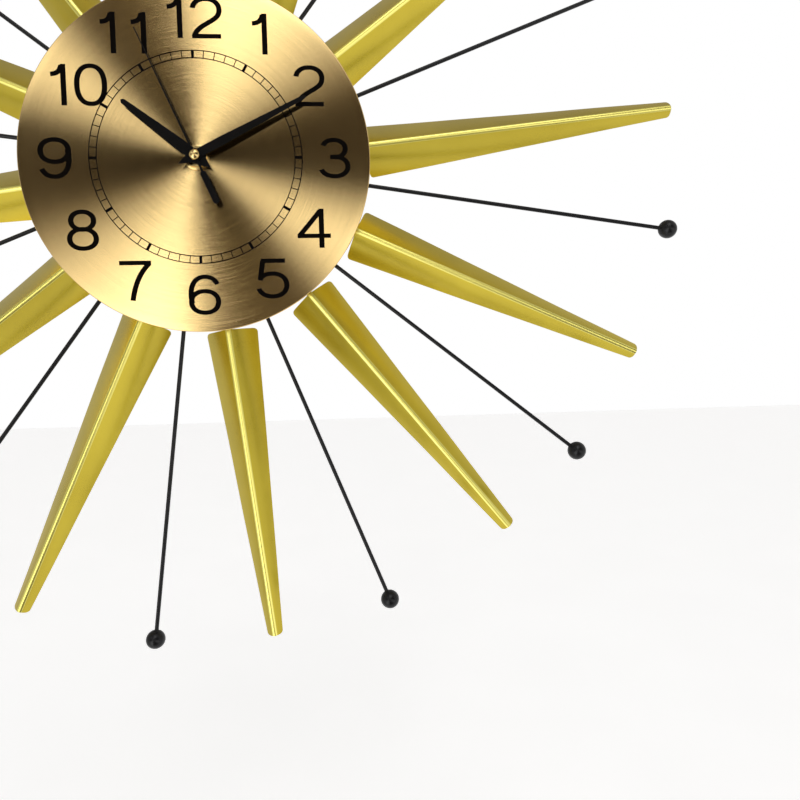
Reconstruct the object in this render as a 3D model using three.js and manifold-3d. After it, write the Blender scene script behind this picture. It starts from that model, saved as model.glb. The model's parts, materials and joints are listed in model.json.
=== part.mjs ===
// Sunburst wall clock: a spun dial in front of a twelve-armed hub plate that carries
// twelve folded rays and twelve ball-tipped rods, with a battery quartz movement behind.
//
// Millimetres. +Z points to 12 o'clock, +X to 3 o'clock, and the dial faces -Y.
// The origin is on the dial's axis in the wall plane, at the rear face of the movement.

import * as THREE from 'three';
import { mergeVertices } from 'three/addons/utils/BufferGeometryUtils.js';
import Module from 'manifold-3d';

const wasm = await Module();
wasm.setup();

// ---------------------------------------------------------------- driving dimensions

const GAP = 0.3;                    // air left between neighbouring pieces

const DIAL_RADIUS = 110;
const DIAL_THICKNESS = 1;
const DIAL_FRONT = -27.5;           // y of the dial's face
const DIAL_HOLE_RADIUS = 4.4;

const BACKING_RADIUS = 48;          // fibreboard disc between the dial and the hub plate
const BACKING_THICKNESS = 6.8;

const PLATE_RADIUS = 98;            // steel hub plate
const PLATE_THICKNESS = 1.5;
const ARM_WIDTH = 4;
const ARM_FRONT = -14;              // y of an arm's front face, inside its ray
const ARM_REACH = 142;

const ARM_COUNT = 12;
const STEP = 360 / ARM_COUNT;
const FIRST_ROD = 97.5;             // even places, degrees clockwise from 12 o'clock
const FIRST_RAY = 112.5;

// Welded by hand: each rod and ray leans clockwise by some part of a degree or so, and a ray's
// inner end lies a little off the line from the axis to its tip, in millimetres clockwise.
const ROD_LEAN = [1, 1, 1, 0, -0.5, 0.5, 0, 0, 0.5, 0, -0.5, 0.5];
const RAY_LEAN = [1.5, -1.35, 0.85, 1.5, 0, -0.5, 0.5, 0, -0.5, 0.5, 0, 1];
const RAY_SKEW = [0, 1.1, -0.6, -2, 0.9, 0.8, 0, 0, 0, 0, 0, 1];

const RAY_BASE = 109;               // distance of a ray's inner end from the axis
const RAY_TIP = 318;
const RAY_BASE_HALF = 17.4;         // half width over the flanges, at each end
const RAY_TIP_HALF = 5.2;
const RAY_SHEET = 1;
const RAY_RIDGE = -18;              // y of the ridge line
const RAY_RIDGE_RADIUS = 2.5;       // outer radius of the fold
const RAY_BASE_CORNER = 3;
const RAY_TIP_CORNER = 2.4;

const ROD_RADIUS = 1.3;
const ROD_INNER = 62;
const BALL_RADIUS = 6.2;
const BALL_CENTRE = 315;
const BALL_SOCKET_DEPTH = 5;

const CASE_HALF = 28;               // movement case, half its side
const CASE_WALL = 1.4;
const CASE_CORNER = 4;
const CASE_FLOOR = 1.5;             // thickness of the case's front wall
const LID_FRONT = -3.2;             // y of the joint between the case and its rear lid
const LID_THICKNESS = 1.5;
const BUSH_RADIUS = 4;
const BUSH_BORE = 2.95;
const BAY_TOP = -11;                // z of the battery bay's upper wall
const BATTERY_Z = -18.9;
const BATTERY_Y = -8.2;
const BATTERY_RADIUS = 7.25;
const BATTERY_LENGTH = 49.2;

const WASHER_THICKNESS = 0.5;
const WASHER_RADIUS = 8;
const NUT_THICKNESS = 1.9;
const NUT_ACROSS_FLATS = 12.5;

const HAND_THICKNESS = 0.5;
const HOUR_HAND_LENGTH = 56;
const MINUTE_HAND_LENGTH = 79;
const SECOND_HAND_LENGTH = 84;
const HOUR_ANGLE = 308;             // degrees clockwise from 12 o'clock, about 10:10
const MINUTE_ANGLE = 62.5;
const SECOND_ANGLE = 336.5;

// ---------------------------------------------------------------- planes worked out

const DIAL_BACK = DIAL_FRONT + DIAL_THICKNESS;
const BACKING_FRONT = DIAL_BACK + GAP;
const BACKING_BACK = BACKING_FRONT + BACKING_THICKNESS;
const PLATE_FRONT = BACKING_BACK + GAP;
const PLATE_BACK = PLATE_FRONT + PLATE_THICKNESS;
const ROD_Y = PLATE_FRONT - GAP - ROD_RADIUS;
const CASE_FRONT = PLATE_BACK + GAP;
const CASE_INNER = CASE_FRONT + CASE_FLOOR;
const WASHER_BACK = DIAL_FRONT - GAP;
const WASHER_FRONT = WASHER_BACK - WASHER_THICKNESS;
const NUT_BACK = WASHER_FRONT - 0.2;
const NUT_FRONT = NUT_BACK - NUT_THICKNESS;
const BUSH_FRONT = NUT_FRONT - 0.3;
const HOUR_HAND_BACK = BUSH_FRONT - 0.4;
const HOUR_HAND_FRONT = HOUR_HAND_BACK - HAND_THICKNESS;
const MINUTE_HAND_BACK = HOUR_HAND_FRONT - 0.7;
const MINUTE_HAND_FRONT = MINUTE_HAND_BACK - HAND_THICKNESS;
const SECOND_HAND_BACK = MINUTE_HAND_FRONT - 0.7;
const SECOND_HAND_THICKNESS = 0.4;
const SECOND_HAND_FRONT = SECOND_HAND_BACK - SECOND_HAND_THICKNESS;

// ---------------------------------------------------------------- solids

function toSolid(geometry) {
  const bare = geometry.index ? geometry.toNonIndexed() : geometry.clone();
  bare.deleteAttribute('normal');
  bare.deleteAttribute('uv');
  const merged = mergeVertices(bare, 1e-4);
  const mesh = new wasm.Mesh({
    numProp: 3,
    vertProperties: new Float32Array(merged.attributes.position.array),
    triVerts: new Uint32Array(merged.index.array),
  });
  return new wasm.Manifold(mesh);
}

function toGeometry(solid) {
  const mesh = solid.getMesh();
  const geometry = new THREE.BufferGeometry();
  geometry.setAttribute('position', new THREE.BufferAttribute(mesh.vertProperties, 3));
  geometry.setIndex(new THREE.BufferAttribute(mesh.triVerts, 1));
  geometry.computeVertexNormals();
  return geometry;
}

function joined(pieces) {
  return pieces.reduce((whole, piece) => whole.add(piece));
}

// A flat outline in the dial's plane (u towards +X, v towards +Z), from yFront back to yBack.
function plate(shape, yFront, yBack, curveSegments = 6) {
  const geometry = new THREE.ExtrudeGeometry(shape, {
    depth: yBack - yFront,
    bevelEnabled: false,
    curveSegments,
  });
  geometry.rotateX(Math.PI / 2);
  geometry.translate(0, yBack, 0);
  return toSolid(geometry);
}

// A turned solid about an axis along Y through (x, z). Profile points are [radius, y].
function turned(profile, segments, x = 0, z = 0) {
  const points = profile.map(([radius, y]) => new THREE.Vector2(radius, y));
  const geometry = new THREE.LatheGeometry(points, segments);
  geometry.translate(x, 0, z);
  return orientedSolid(geometry);
}

function orientedSolid(geometry) {
  const solid = toSolid(geometry);
  return solid.volume() < 0 ? toSolid(flipped(geometry)) : solid;
}

function flipped(geometry) {
  const open = geometry.index ? geometry.toNonIndexed() : geometry.clone();
  const p = open.attributes.position;
  for (let i = 0; i < p.count; i += 3) {
    const [x, y, z] = [p.getX(i + 1), p.getY(i + 1), p.getZ(i + 1)];
    p.setXYZ(i + 1, p.getX(i + 2), p.getY(i + 2), p.getZ(i + 2));
    p.setXYZ(i + 2, x, y, z);
  }
  return open;
}

function disc(radius, yFront, yBack, segments, x = 0, z = 0) {
  return turned([[0, yFront], [radius, yFront], [radius, yBack], [0, yBack]], segments, x, z);
}

function ring(outer, inner, yFront, yBack, segments, x = 0, z = 0) {
  const profile = [[inner, yFront], [outer, yFront], [outer, yBack], [inner, yBack], [inner, yFront]];
  return turned(profile, segments, x, z);
}

function box(x0, x1, y0, y1, z0, z1) {
  const geometry = new THREE.BoxGeometry(x1 - x0, y1 - y0, z1 - z0);
  geometry.translate((x0 + x1) / 2, (y0 + y1) / 2, (z0 + z1) / 2);
  return toSolid(geometry);
}

function roundedRectangle(x0, x1, z0, z1, r) {
  const shape = new THREE.Shape();
  shape.moveTo(x0 + r, z0);
  shape.lineTo(x1 - r, z0);
  shape.absarc(x1 - r, z0 + r, r, -Math.PI / 2, 0);
  shape.lineTo(x1, z1 - r);
  shape.absarc(x1 - r, z1 - r, r, 0, Math.PI / 2);
  shape.lineTo(x0 + r, z1);
  shape.absarc(x0 + r, z1 - r, r, Math.PI / 2, Math.PI);
  shape.lineTo(x0, z0 + r);
  shape.absarc(x0 + r, z0 + r, r, Math.PI, 1.5 * Math.PI);
  return shape;
}

function polygon(points) {
  return new THREE.Shape(points.map(([u, v]) => new THREE.Vector2(u, v)));
}

const rodAngle = (i) => FIRST_ROD + STEP * i + ROD_LEAN[i];
const rayAngle = (i) => FIRST_RAY + STEP * i + RAY_LEAN[i];

// A solid running along +X, turned to a clock angle (degrees clockwise from 12 o'clock).
function atClockAngle(solid, degrees) {
  return solid.rotate([0, degrees - 90, 0]);
}

// Turned to a ray's place: about its tip until the inner end lies off line by its skew, then round the dial.
function atRay(solid, i) {
  const skew = THREE.MathUtils.radToDeg(Math.atan(RAY_SKEW[i] / (RAY_TIP - RAY_BASE)));
  const skewed = solid.translate([-RAY_TIP, 0, 0]).rotate([0, -skew, 0]).translate([RAY_TIP, 0, 0]);
  return atClockAngle(skewed, rayAngle(i));
}

function clockPoint(distance, degrees) {
  const a = THREE.MathUtils.degToRad(degrees);
  return [distance * Math.sin(a), distance * Math.cos(a)];
}

// ---------------------------------------------------------------- the clock's group

const clock = new THREE.Group();

function add(name, solid, colour, roughness, metalness) {
  const material = new THREE.MeshStandardMaterial({ color: colour, roughness, metalness });
  const mesh = new THREE.Mesh(toGeometry(solid), material);
  mesh.name = name;
  clock.add(mesh);
}

const GOLD = [0xb8a832, 0.35, 0.9];
const BLACK_ENAMEL = [0x17171b, 0.35, 0.2];
const CHAMPAGNE = [0xc8a574, 0.3, 0.95];
const BRASS = [0xc9a227, 0.25, 0.95];
const STEEL = [0x8d9095, 0.4, 0.9];
const BLACK_PLASTIC = [0x1c1c1e, 0.55, 0];
const WHITE_PLASTIC = [0xe8e6df, 0.5, 0];

// ---------------------------------------------------------------- rays

// Cross-section of a folded ray: [sideways, depth behind the ridge], for a given half width.
function raySection(halfWidth) {
  const fold = Math.PI / 4;
  const arcSteps = 4;
  const outerRadius = RAY_RIDGE_RADIUS;
  const innerRadius = RAY_RIDGE_RADIUS - RAY_SHEET;
  const edgeDepth = outerRadius * (1 - Math.cos(fold)) + (halfWidth - outerRadius * Math.sin(fold));
  const inset = RAY_SHEET * Math.sin(fold);
  const section = [[-halfWidth, edgeDepth]];
  for (let i = 0; i <= arcSteps; i++) {
    const a = -fold + (2 * fold * i) / arcSteps;
    section.push([outerRadius * Math.sin(a), outerRadius * (1 - Math.cos(a))]);
  }
  section.push([halfWidth, edgeDepth]);
  section.push([halfWidth - inset, edgeDepth + inset]);
  for (let i = arcSteps; i >= 0; i--) {
    const a = -fold + (2 * fold * i) / arcSteps;
    section.push([innerRadius * Math.sin(a), outerRadius - innerRadius * Math.cos(a)]);
  }
  section.push([-halfWidth + inset, edgeDepth + inset]);
  return section;
}

// A straight loft along +X between two sections with the same number of points.
function loft(sectionA, xA, sectionB, xB, ridgeY) {
  const place = (section, x) => section.map(([s, d]) => new THREE.Vector3(x, ridgeY + d, s));
  const a = place(sectionA, xA);
  const b = place(sectionB, xB);
  const outline = sectionA.map(([s, d]) => new THREE.Vector2(s, d));
  const caps = THREE.ShapeUtils.triangulateShape(outline, []);
  const corners = [];
  for (const [i, j, k] of caps) {
    corners.push(a[i], a[j], a[k], b[i], b[k], b[j]);
  }
  for (let i = 0; i < a.length; i++) {
    const j = (i + 1) % a.length;
    corners.push(a[i], b[i], a[j], a[j], b[i], b[j]);
  }
  const geometry = new THREE.BufferGeometry().setFromPoints(corners);
  return orientedSolid(geometry);
}

// The outline of a ray seen from the front: a long taper with four rounded corners.
function rayOutline() {
  const corner = (shape, x, z, toX, toZ) => shape.quadraticCurveTo(x, z, toX, toZ);
  const slope = (RAY_BASE_HALF - RAY_TIP_HALF) / (RAY_TIP - RAY_BASE);
  const b = RAY_BASE_CORNER;
  const t = RAY_TIP_CORNER;
  const halfAt = (x) => RAY_BASE_HALF - slope * (x - RAY_BASE) + 0.01;
  const shape = new THREE.Shape();
  shape.moveTo(RAY_BASE, -RAY_BASE_HALF + b);
  corner(shape, RAY_BASE, -halfAt(RAY_BASE), RAY_BASE + b, -halfAt(RAY_BASE + b));
  shape.lineTo(RAY_TIP - t, -halfAt(RAY_TIP - t));
  corner(shape, RAY_TIP, -halfAt(RAY_TIP), RAY_TIP, -RAY_TIP_HALF + t);
  shape.lineTo(RAY_TIP, RAY_TIP_HALF - t);
  corner(shape, RAY_TIP, halfAt(RAY_TIP), RAY_TIP - t, halfAt(RAY_TIP - t));
  shape.lineTo(RAY_BASE + b, halfAt(RAY_BASE + b));
  corner(shape, RAY_BASE, halfAt(RAY_BASE), RAY_BASE, RAY_BASE_HALF - b);
  return shape;
}

function foldedRay() {
  const margin = 2;
  const slope = (RAY_BASE_HALF - RAY_TIP_HALF) / (RAY_TIP - RAY_BASE);
  const before = raySection(RAY_BASE_HALF + slope * margin);
  const after = raySection(RAY_TIP_HALF - slope * margin);
  const folded = loft(before, RAY_BASE - margin, after, RAY_TIP + margin, RAY_RIDGE);
  return folded.intersect(plate(rayOutline(), RAY_RIDGE - 5, 5, 3));
}

// ---------------------------------------------------------------- rods and balls

function rod() {
  const length = BALL_CENTRE - BALL_RADIUS + BALL_SOCKET_DEPTH - GAP - ROD_INNER;
  const geometry = new THREE.CylinderGeometry(ROD_RADIUS, ROD_RADIUS, length, 10);
  geometry.rotateZ(-Math.PI / 2);
  geometry.translate(ROD_INNER + length / 2, ROD_Y, 0);
  return toSolid(geometry);
}

function ball() {
  const socket = ROD_RADIUS + GAP;
  const steps = 7;
  const start = Math.asin(socket / BALL_RADIUS);
  const points = [new THREE.Vector2(0, -BALL_RADIUS * Math.cos(start) + BALL_SOCKET_DEPTH)];
  points.push(new THREE.Vector2(socket, -BALL_RADIUS * Math.cos(start) + BALL_SOCKET_DEPTH));
  for (let i = 0; i <= steps; i++) {
    const a = start + ((Math.PI - start) * i) / steps;
    const radius = i === steps ? 0 : BALL_RADIUS * Math.sin(a);
    points.push(new THREE.Vector2(radius, -BALL_RADIUS * Math.cos(a)));
  }
  const geometry = new THREE.LatheGeometry(points, 12);
  geometry.rotateZ(-Math.PI / 2);
  geometry.translate(BALL_CENTRE, ROD_Y, 0);
  return orientedSolid(geometry);
}

const raySolid = foldedRay();
const rodSolid = rod();
const ballSolid = ball();
for (let i = 0; i < ARM_COUNT; i++) {
  const number = String(i + 1).padStart(2, '0');
  add(`ray_${number}`, atRay(raySolid, i), ...GOLD);
  add(`rod_${number}`, atClockAngle(rodSolid, rodAngle(i)), ...BLACK_ENAMEL);
  add(`ball_${number}`, atClockAngle(ballSolid, rodAngle(i)), ...BLACK_ENAMEL);
}

// ---------------------------------------------------------------- dial and hub

function dial() {
  const edge = 0.45;
  return turned([
    [DIAL_HOLE_RADIUS, DIAL_FRONT],
    [DIAL_RADIUS - edge, DIAL_FRONT],
    [DIAL_RADIUS, DIAL_FRONT + edge],
    [DIAL_RADIUS, DIAL_BACK],
    [DIAL_HOLE_RADIUS, DIAL_BACK],
    [DIAL_HOLE_RADIUS, DIAL_FRONT],
  ], 80);
}

// One bent arm in the (radius, y) plane: out of the plate, back into the ray, then outwards.
function hubArm() {
  const bendStart = PLATE_RADIUS + 1;
  const bendEnd = PLATE_RADIUS + 8;
  const profile = polygon([
    [PLATE_RADIUS - 6, PLATE_BACK],
    [PLATE_RADIUS - 6, PLATE_FRONT],
    [bendStart, PLATE_FRONT],
    [bendEnd, ARM_FRONT],
    [ARM_REACH, ARM_FRONT],
    [ARM_REACH, ARM_FRONT + PLATE_THICKNESS],
    [bendEnd - 0.8, ARM_FRONT + PLATE_THICKNESS],
    [bendStart - 0.8, PLATE_BACK],
  ]);
  const geometry = new THREE.ExtrudeGeometry(profile, { depth: ARM_WIDTH, bevelEnabled: false });
  geometry.translate(0, 0, -ARM_WIDTH / 2);
  return orientedSolid(geometry);
}

function hubPlate() {
  const arm = hubArm();
  let solid = ring(PLATE_RADIUS, BUSH_RADIUS + GAP, PLATE_FRONT, PLATE_BACK, 48);
  for (let i = 0; i < ARM_COUNT; i++) {
    solid = solid.add(atRay(arm, i));
  }
  return solid;
}

// A strap standing off the rear of the plate to the wall plane, with a keyhole for a screw.
const HANGER_HALF_WIDTH = 13;
const HANGER_LOW = 34;
const HANGER_HIGH = 92;
const HANGER_FOOT = 9;
const HANGER_SHEET = 1.5;
const KEYHOLE_Z = 58;
const KEYHOLE_RADIUS = 5;
const KEYHOLE_SLOT_HALF = 2.6;
const KEYHOLE_TOP = 70;

function hangerBracket() {
  const footFront = PLATE_BACK + GAP;
  const rise = 6;
  const low = HANGER_LOW + HANGER_FOOT;
  const high = HANGER_HIGH - HANGER_FOOT;
  const t = HANGER_SHEET;
  const profile = polygon([
    [HANGER_LOW, footFront],
    [low, footFront],
    [low + rise, -t],
    [high - rise, -t],
    [high, footFront],
    [HANGER_HIGH, footFront],
    [HANGER_HIGH, footFront + t],
    [high + 0.9, footFront + t],
    [high - rise + 0.9, 0],
    [low + rise - 0.9, 0],
    [low - 0.9, footFront + t],
    [HANGER_LOW, footFront + t],
  ]);
  const geometry = new THREE.ExtrudeGeometry(profile, {
    depth: 2 * HANGER_HALF_WIDTH,
    bevelEnabled: false,
  });
  geometry.translate(0, 0, -HANGER_HALF_WIDTH);
  geometry.applyMatrix4(new THREE.Matrix4().makeBasis(
    new THREE.Vector3(0, 0, 1),
    new THREE.Vector3(0, 1, 0),
    new THREE.Vector3(1, 0, 0),
  ));
  const strap = orientedSolid(geometry);
  const head = disc(KEYHOLE_RADIUS, -6, 3, 20, 0, KEYHOLE_Z);
  const slot = box(-KEYHOLE_SLOT_HALF, KEYHOLE_SLOT_HALF, -6, 3, KEYHOLE_Z, KEYHOLE_TOP);
  const slotEnd = disc(KEYHOLE_SLOT_HALF, -6, 3, 16, 0, KEYHOLE_TOP);
  return strap.subtract(head.add(slot).add(slotEnd));
}

function hexNut() {
  const points = [];
  const reach = NUT_ACROSS_FLATS / 2 / Math.cos(Math.PI / 6);
  for (let i = 0; i < 6; i++) {
    const a = (Math.PI / 3) * i;
    points.push([reach * Math.cos(a), reach * Math.sin(a)]);
  }
  const bore = disc(BUSH_RADIUS + 0.2, NUT_FRONT - 1, NUT_BACK + 1, 24);
  return plate(polygon(points), NUT_FRONT, NUT_BACK).subtract(bore);
}

add('dial', dial(), ...CHAMPAGNE);
add('dial_backing',
  ring(BACKING_RADIUS, BUSH_RADIUS + GAP, BACKING_FRONT, BACKING_BACK, 48), 0x6a5440, 0.9, 0);
add('hub_plate', hubPlate(), ...BLACK_ENAMEL);
add('hanger_bracket', hangerBracket(), ...STEEL);
add('dial_washer', ring(WASHER_RADIUS, BUSH_RADIUS + GAP, WASHER_FRONT, WASHER_BACK, 32), ...BRASS);
add('dial_nut', hexNut(), ...BRASS);

// ---------------------------------------------------------------- movement case

function caseFront() {
  const shell = plate(roundedRectangle(-CASE_HALF, CASE_HALF, -CASE_HALF, CASE_HALF, CASE_CORNER),
    CASE_FRONT, LID_FRONT, 3);
  const inner = CASE_HALF - CASE_WALL;
  const train = plate(
    roundedRectangle(-inner, inner, BAY_TOP + CASE_WALL, inner, CASE_CORNER - CASE_WALL),
    CASE_INNER, 1, 3);
  const bay = plate(roundedRectangle(-inner, inner, -inner, BAY_TOP, 1), CASE_INNER, 1, 2);
  const bush = disc(BUSH_RADIUS, BUSH_FRONT, CASE_FRONT + 0.5, 28);
  const bore = disc(BUSH_BORE, BUSH_FRONT - 1, CASE_INNER + 1, 28);
  return shell.subtract(train).subtract(bay).add(bush).subtract(bore);
}

const SETTING_DISTANCE = 11.2;
const SETTING_AIM = 300;
const SETTING = clockPoint(SETTING_DISTANCE, SETTING_AIM);   // axis of the setting wheel and knob
const KNOB_RADIUS = 5.6;
const KNOB_WELL = KNOB_RADIUS + 1;

function caseBack() {
  const outline = roundedRectangle(-CASE_HALF, CASE_HALF, -CASE_HALF, CASE_HALF, CASE_CORNER);
  const lid = plate(outline, LID_FRONT + GAP, 0, 3);
  const inner = CASE_HALF - CASE_WALL;
  const recess = plate(
    roundedRectangle(-inner, inner, BAY_TOP + CASE_WALL, inner, CASE_CORNER - CASE_WALL),
    LID_FRONT - 1, -LID_THICKNESS, 3);
  const bayMouth = box(-inner, inner, LID_FRONT - 1, 1, -inner, BAY_TOP);
  const well = disc(KNOB_WELL, -4, 1, 28, SETTING[0], SETTING[1]);
  return lid.subtract(recess).subtract(bayMouth).subtract(well);
}

add('movement_front', caseFront(), ...BLACK_PLASTIC);
add('movement_back', caseBack(), ...BLACK_PLASTIC);

// ---------------------------------------------------------------- battery and contacts

function battery() {
  const half = BATTERY_LENGTH / 2;
  const shoulder = half - 1;
  const points = [
    [0, -half], [BATTERY_RADIUS - 0.6, -half], [BATTERY_RADIUS, -half + 0.6],
    [BATTERY_RADIUS, shoulder - 0.8], [BATTERY_RADIUS - 0.8, shoulder],
    [2.7, shoulder], [2.7, half], [0, half],
  ].map(([radius, along]) => new THREE.Vector2(radius, along));
  const geometry = new THREE.LatheGeometry(points, 24);
  geometry.rotateZ(-Math.PI / 2);
  geometry.translate(0.4, BATTERY_Y, BATTERY_Z);
  return orientedSolid(geometry);
}

const CONTACT_X = CASE_HALF - CASE_WALL - GAP;   // outer face of a contact strip

function contactPositive() {
  const x = CONTACT_X;
  return box(x - 0.4, x, BATTERY_Y - 4, BATTERY_Y + 4, BATTERY_Z - 4, BATTERY_Z + 4);
}

function contactNegative() {
  const x = -CONTACT_X;
  const strip = box(x, x + 0.4, BATTERY_Y - 4, BATTERY_Y + 4, BATTERY_Z - 4, BATTERY_Z + 4);
  const dimple = new THREE.CylinderGeometry(1, 2.4, 1, 16);
  dimple.rotateZ(-Math.PI / 2);
  dimple.translate(x + 0.8, BATTERY_Y, BATTERY_Z);
  return strip.add(toSolid(dimple));
}

add('battery', battery(), 0x2a5d8f, 0.4, 0.3);
add('contact_positive', contactPositive(), ...STEEL);
add('contact_negative', contactNegative(), ...STEEL);

// ---------------------------------------------------------------- gear train

const TOOTH_TIP = 0.16;        // share of the tooth pitch covered by a tooth's tip
const TOOTH_ROOT = 0.44;       // and by its root
const ADDENDUM = 0.75;
const DEDENDUM = 1.2;

// A toothed wheel. One tooth points to clock angle `aim`, or one gap when `gapAtAim` is set.
function gear(teeth, module, yFront, yBack, x, z, aim, gapAtAim) {
  const pitch = (2 * Math.PI) / teeth;
  const tip = (teeth * module) / 2 + ADDENDUM * module;
  const root = (teeth * module) / 2 - DEDENDUM * module;
  const tooth = [[root, -TOOTH_ROOT], [tip, -TOOTH_TIP], [tip, TOOTH_TIP], [root, TOOTH_ROOT]];
  const start = THREE.MathUtils.degToRad(90 - aim) + (gapAtAim ? pitch / 2 : 0);
  const points = [];
  for (let i = 0; i < teeth; i++) {
    const a = start + i * pitch;
    for (const [radius, share] of tooth) {
      const b = a + (share * pitch) / 2;
      points.push([radius * Math.cos(b), radius * Math.sin(b)]);
    }
  }
  return plate(polygon(points), yFront, yBack).translate([x, 0, z]);
}

// Clock angles from the centre arbor to the others, and tooth counts of the meshing pairs.
const THIRD_AIM = 55;
const INTERMEDIATE_AIM = 350;
const ROTOR_AIM = 20;          // from the intermediate arbor to the rotor

const ROTOR_PINION = 8;
const INTERMEDIATE_WHEEL = 48;
const INTERMEDIATE_PINION = 8;
const SECOND_WHEEL = 40;
const SECOND_PINION = 8;
const THIRD_WHEEL = 60;
const THIRD_PINION = 8;
const CENTRE_WHEEL = 64;
const CANNON_PINION = 12;
const SETTING_WHEEL = 36;
const SETTING_PINION = 10;
const HOUR_WHEEL = 40;

const THIRD_DISTANCE = 10.2;
const INTERMEDIATE_DISTANCE = 10.08;
const ROTOR_DISTANCE = 8.4;

const moduleFor = (distance, a, b) => (2 * distance) / (a + b);

// y layers from the dial side to the wall side: [front, back]
const HOUR_LAYER = [-15.4, -14.5];
const CANNON_LAYER = [-14.1, -13.1];
const CENTRE_LAYER = [-12.3, -11.5];
const THIRD_LAYER = [-10.2, -9.4];
const SECOND_LAYER = [-8.6, -7.8];
const INTERMEDIATE_LAYER = [-6.4, -5.6];
const TRAIN_BACK = -2.2;       // rear ends of the arbors
const INTERMEDIATE_FRONT = -11;
const ROTOR_FRONT = -13.4;

const THIRD = clockPoint(THIRD_DISTANCE, THIRD_AIM);
const INTERMEDIATE = clockPoint(INTERMEDIATE_DISTANCE, INTERMEDIATE_AIM);
const ROTOR_OFFSET = clockPoint(ROTOR_DISTANCE, ROTOR_AIM);
const ROTOR = [INTERMEDIATE[0] + ROTOR_OFFSET[0], INTERMEDIATE[1] + ROTOR_OFFSET[1]];

const HOUR_TUBE = [2.6, 2.0];     // outer and bore radius
const MINUTE_TUBE = [1.7, 0.85];
const SECOND_ARBOR = 0.6;
const SMALL_ARBOR = 0.5;

function hourWheel() {
  const module = moduleFor(SETTING_DISTANCE, HOUR_WHEEL, SETTING_PINION);
  const wheel = gear(HOUR_WHEEL, module, ...HOUR_LAYER, 0, 0, SETTING_AIM, false);
  const tube = disc(HOUR_TUBE[0], HOUR_HAND_BACK - 0.1, HOUR_LAYER[0] + 0.2, 24);
  const nose = disc(HOUR_TUBE[0] - 0.25, HOUR_HAND_FRONT - 0.2, HOUR_HAND_BACK, 24);
  const bore = disc(HOUR_TUBE[1], HOUR_HAND_FRONT - 2, HOUR_LAYER[1] + 1, 24);
  return wheel.add(tube).add(nose).subtract(bore);
}

function centreWheel() {
  const trainModule = moduleFor(THIRD_DISTANCE, CENTRE_WHEEL, THIRD_PINION);
  const motionModule = moduleFor(SETTING_DISTANCE, CANNON_PINION, SETTING_WHEEL);
  const wheel = gear(CENTRE_WHEEL, trainModule, ...CENTRE_LAYER, 0, 0, THIRD_AIM, false);
  const cannon = gear(CANNON_PINION, motionModule, CANNON_LAYER[0], CENTRE_LAYER[0] + 0.2,
    0, 0, SETTING_AIM, true);
  const tube = disc(MINUTE_TUBE[0], MINUTE_HAND_FRONT - 0.2, CANNON_LAYER[0] + 0.2, 24);
  const bore = disc(MINUTE_TUBE[1], MINUTE_HAND_FRONT - 2, CENTRE_LAYER[1] + 1, 16);
  return wheel.add(cannon).add(tube).subtract(bore);
}

function secondWheel() {
  const trainModule = moduleFor(THIRD_DISTANCE, THIRD_WHEEL, SECOND_PINION);
  const motorModule = moduleFor(INTERMEDIATE_DISTANCE, SECOND_WHEEL, INTERMEDIATE_PINION);
  const pinion = gear(SECOND_PINION, trainModule, THIRD_LAYER[0] - 0.3, SECOND_LAYER[0] + 0.2,
    0, 0, THIRD_AIM, true);
  const wheel = gear(SECOND_WHEEL, motorModule, ...SECOND_LAYER, 0, 0, INTERMEDIATE_AIM, false);
  const arbor = disc(SECOND_ARBOR, SECOND_HAND_BACK + 0.2, TRAIN_BACK, 12);
  return pinion.add(wheel).add(arbor);
}

function thirdWheel() {
  const wheelModule = moduleFor(THIRD_DISTANCE, THIRD_WHEEL, SECOND_PINION);
  const pinionModule = moduleFor(THIRD_DISTANCE, CENTRE_WHEEL, THIRD_PINION);
  const back = THIRD_AIM + 180;
  const wheel = gear(THIRD_WHEEL, wheelModule, ...THIRD_LAYER, ...THIRD, back, false);
  const pinion = gear(THIRD_PINION, pinionModule, CENTRE_LAYER[0] - 0.3, THIRD_LAYER[0] + 0.2,
    ...THIRD, back, true);
  const arbor = disc(SMALL_ARBOR, CASE_INNER + GAP, TRAIN_BACK, 10, ...THIRD);
  return wheel.add(pinion).add(arbor);
}

function intermediateWheel() {
  const pinionModule = moduleFor(INTERMEDIATE_DISTANCE, SECOND_WHEEL, INTERMEDIATE_PINION);
  const wheelModule = moduleFor(ROTOR_DISTANCE, ROTOR_PINION, INTERMEDIATE_WHEEL);
  const pinion = gear(INTERMEDIATE_PINION, pinionModule, SECOND_LAYER[0] - 0.3,
    INTERMEDIATE_LAYER[0] + 0.2, ...INTERMEDIATE, INTERMEDIATE_AIM + 180, true);
  const wheel = gear(INTERMEDIATE_WHEEL, wheelModule, ...INTERMEDIATE_LAYER, ...INTERMEDIATE,
    ROTOR_AIM, false);
  const arbor = disc(SMALL_ARBOR, INTERMEDIATE_FRONT, TRAIN_BACK, 10, ...INTERMEDIATE);
  return pinion.add(wheel).add(arbor);
}

const MAGNET_RADIUS = 2.9;
const MAGNET_LAYER = [-11.2, -8];

function rotor() {
  const module = moduleFor(ROTOR_DISTANCE, ROTOR_PINION, INTERMEDIATE_WHEEL);
  const magnet = disc(MAGNET_RADIUS, ...MAGNET_LAYER, 20, ...ROTOR);
  const pinion = gear(ROTOR_PINION, module, MAGNET_LAYER[1] - 0.2, INTERMEDIATE_LAYER[1] + 0.3,
    ...ROTOR, ROTOR_AIM + 180, true);
  const arbor = disc(SMALL_ARBOR, ROTOR_FRONT, TRAIN_BACK, 10, ...ROTOR);
  return magnet.add(pinion).add(arbor);
}

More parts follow.
